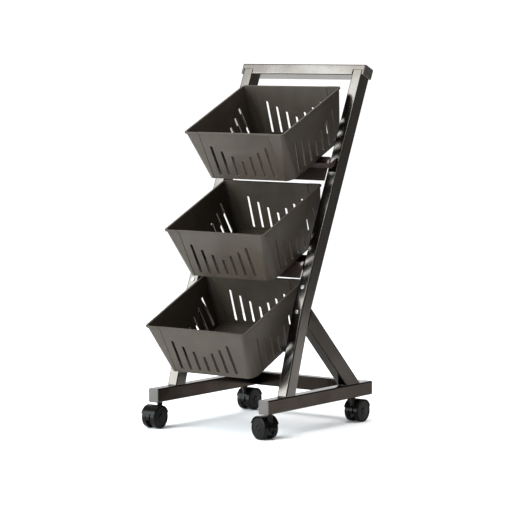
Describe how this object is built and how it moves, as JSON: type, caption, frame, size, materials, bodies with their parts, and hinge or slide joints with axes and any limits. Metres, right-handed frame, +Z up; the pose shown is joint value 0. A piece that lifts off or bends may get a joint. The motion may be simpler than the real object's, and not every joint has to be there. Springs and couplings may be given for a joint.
{
  "type": "tiered fruit rack",
  "caption": "Leaning tube frame on twin wheel casters, with tapered slotted plastic baskets set one above the other and tilted to the front, and a bar to push it by",
  "frame": {"origin": "centre of the overall box on the floor, under the rack", "axes": "+X to the right as seen from the front, +Y to the back, +Z up"},
  "size_m": [0.327, 0.4226, 0.7682],
  "materials": {
    "frame_finish": "dark brown-black metallic coating, satin to glossy",
    "plug_plastic": "moulded plastic in the frame's colour",
    "basket_plastic": "taupe grey moulded plastic, satin",
    "caster_plastic": "black glossy plastic",
    "zinc_steel": "zinc plated steel"
  },
  "bodies": {
    "rack": {"left_base_rail": "frame_finish", "right_base_rail": "frame_finish", "rear_crossbar": "frame_finish", "left_lower_leg": "frame_finish", "right_lower_leg": "frame_finish", "left_upper_post": "frame_finish", "right_upper_post": "frame_finish", "left_post_sleeve": "zinc_steel", "right_post_sleeve": "zinc_steel", "left_strut": "frame_finish", "right_strut": "frame_finish", "top_bar": "frame_finish", "left_rail_front_plug": "plug_plastic", "left_rail_rear_plug": "plug_plastic", "right_rail_front_plug": "plug_plastic", "right_rail_rear_plug": "plug_plastic", "left_bar_plug": "plug_plastic", "right_bar_plug": "plug_plastic", "left_upper_post_screw": "zinc_steel", "left_lower_post_screw": "zinc_steel", "right_upper_post_screw": "zinc_steel", "right_lower_post_screw": "zinc_steel", "top_basket_carrier": "frame_finish", "middle_basket_carrier": "frame_finish", "lower_basket_carrier": "frame_finish", "top_carrier_left_screw": "zinc_steel", "top_carrier_right_screw": "zinc_steel", "middle_carrier_left_screw": "zinc_steel", "middle_carrier_right_screw": "zinc_steel", "lower_carrier_left_screw": "zinc_steel", "lower_carrier_right_screw": "zinc_steel", "front_left_caster_stem": "zinc_steel", "front_left_caster_nut": "zinc_steel", "front_right_caster_stem": "zinc_steel", "front_right_caster_nut": "zinc_steel", "rear_left_caster_stem": "zinc_steel", "rear_left_caster_nut": "zinc_steel", "rear_right_caster_stem": "zinc_steel", "rear_right_caster_nut": "zinc_steel"},
    "front_left_caster": {"front_left_caster_hood": "caster_plastic", "front_left_caster_axle": "zinc_steel"},
    "front_left_left_wheel": {"front_left_caster_left_wheel": "caster_plastic"},
    "front_left_right_wheel": {"front_left_caster_right_wheel": "caster_plastic"},
    "front_right_caster": {"front_right_caster_hood": "caster_plastic", "front_right_caster_axle": "zinc_steel"},
    "front_right_left_wheel": {"front_right_caster_left_wheel": "caster_plastic"},
    "front_right_right_wheel": {"front_right_caster_right_wheel": "caster_plastic"},
    "rear_left_caster": {"rear_left_caster_hood": "caster_plastic", "rear_left_caster_axle": "zinc_steel"},
    "rear_left_left_wheel": {"rear_left_caster_left_wheel": "caster_plastic"},
    "rear_left_right_wheel": {"rear_left_caster_right_wheel": "caster_plastic"},
    "rear_right_caster": {"rear_right_caster_hood": "caster_plastic", "rear_right_caster_axle": "zinc_steel"},
    "rear_right_left_wheel": {"rear_right_caster_left_wheel": "caster_plastic"},
    "rear_right_right_wheel": {"rear_right_caster_right_wheel": "caster_plastic"},
    "top_basket": {"top_basket": "basket_plastic"},
    "middle_basket": {"middle_basket": "basket_plastic"},
    "lower_basket": {"lower_basket": "basket_plastic"}
  },
  "joints": [
    {"name": "front_left_swivel", "type": "hinge", "parent": "rack", "child": "front_left_caster", "pos_m": [-0.14575, -0.14415, 0.0506], "axis": [0, 0, 1], "continuous": true},
    {"name": "front_left_left_wheel_spin", "type": "hinge", "parent": "front_left_caster", "child": "front_left_left_wheel", "pos_m": [-0.14575, -0.16115, 0.024], "axis": [1, 0, 0], "continuous": true},
    {"name": "front_left_right_wheel_spin", "type": "hinge", "parent": "front_left_caster", "child": "front_left_right_wheel", "pos_m": [-0.14575, -0.16115, 0.024], "axis": [1, 0, 0], "continuous": true},
    {"name": "front_right_swivel", "type": "hinge", "parent": "rack", "child": "front_right_caster", "pos_m": [0.14575, -0.14415, 0.0506], "axis": [0, 0, 1], "continuous": true},
    {"name": "front_right_left_wheel_spin", "type": "hinge", "parent": "front_right_caster", "child": "front_right_left_wheel", "pos_m": [0.12941, -0.13947, 0.024], "axis": [-0.2756, -0.9613, 0], "continuous": true},
    {"name": "front_right_right_wheel_spin", "type": "hinge", "parent": "front_right_caster", "child": "front_right_right_wheel", "pos_m": [0.12941, -0.13947, 0.024], "axis": [-0.2756, -0.9613, 0], "continuous": true},
    {"name": "rear_left_swivel", "type": "hinge", "parent": "rack", "child": "rear_left_caster", "pos_m": [-0.14575, 0.15485, 0.0506], "axis": [0, 0, 1], "continuous": true},
    {"name": "rear_left_left_wheel_spin", "type": "hinge", "parent": "rear_left_caster", "child": "rear_left_left_wheel", "pos_m": [-0.14575, 0.17185, 0.024], "axis": [-1, 0, 0], "continuous": true},
    {"name": "rear_left_right_wheel_spin", "type": "hinge", "parent": "rear_left_caster", "child": "rear_left_right_wheel", "pos_m": [-0.14575, 0.17185, 0.024], "axis": [-1, 0, 0], "continuous": true},
    {"name": "rear_right_swivel", "type": "hinge", "parent": "rack", "child": "rear_right_caster", "pos_m": [0.14575, 0.15485, 0.0506], "axis": [0, 0, 1], "continuous": true},
    {"name": "rear_right_left_wheel_spin", "type": "hinge", "parent": "rear_right_caster", "child": "rear_right_left_wheel", "pos_m": [0.14575, 0.17185, 0.024], "axis": [-1, 0, 0], "continuous": true},
    {"name": "rear_right_right_wheel_spin", "type": "hinge", "parent": "rear_right_caster", "child": "rear_right_right_wheel", "pos_m": [0.14575, 0.17185, 0.024], "axis": [-1, 0, 0], "continuous": true},
    {"name": "top_basket_lift", "type": "slide", "parent": "rack", "child": "top_basket", "axis": [0, -0.4195, 0.9078], "range_m": [0, 0.01]},
    {"name": "middle_basket_lift", "type": "slide", "parent": "rack", "child": "middle_basket", "axis": [0, -0.4195, 0.9078], "range_m": [0, 0.01]},
    {"name": "lower_basket_lift", "type": "slide", "parent": "rack", "child": "lower_basket", "axis": [0, -0.4195, 0.9078], "range_m": [0, 0.01]}
  ]
}
